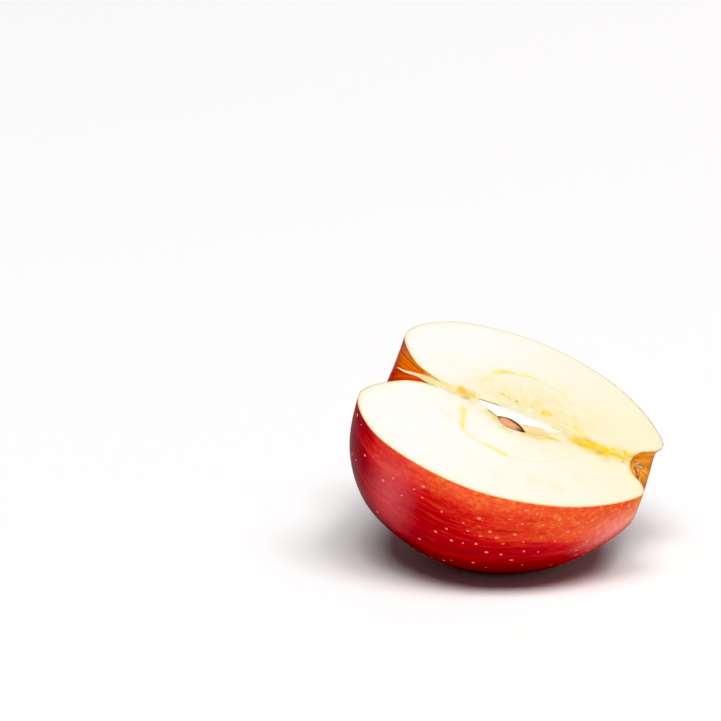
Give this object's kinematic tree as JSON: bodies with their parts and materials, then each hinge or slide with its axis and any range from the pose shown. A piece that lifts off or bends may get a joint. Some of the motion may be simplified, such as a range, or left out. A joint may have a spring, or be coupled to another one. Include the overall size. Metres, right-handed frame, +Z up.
{
  "type": "apple half",
  "caption": "Half of a red apple cut from stalk to calyx, lying on its skin with the pale cut face up and leaning.",
  "frame": {"origin": "middle of the box's base, on the surface that the half lies on", "axes": "+Z up; the core's level direction is X, with the calyx end at +X and lower; the cut face looks up and leans towards -Y"},
  "size_m": [0.0718, 0.0774, 0.0515],
  "materials": {
    "flesh": "moist, cream white, slightly translucent",
    "skin": "waxy gloss, crimson with orange streaks and pale flecks",
    "stalk": "fibrous, cut lengthwise",
    "seed": "satin brown coat, paler where cut",
    "sepal": "dry, matt, papery"
  },
  "bodies": {
    "root": {"apple_half": "flesh", "stalk": "stalk", "seed": "seed", "sepal_near": "sepal", "sepal_low": "sepal", "sepal_far": "sepal"}
  },
  "joints": []
}
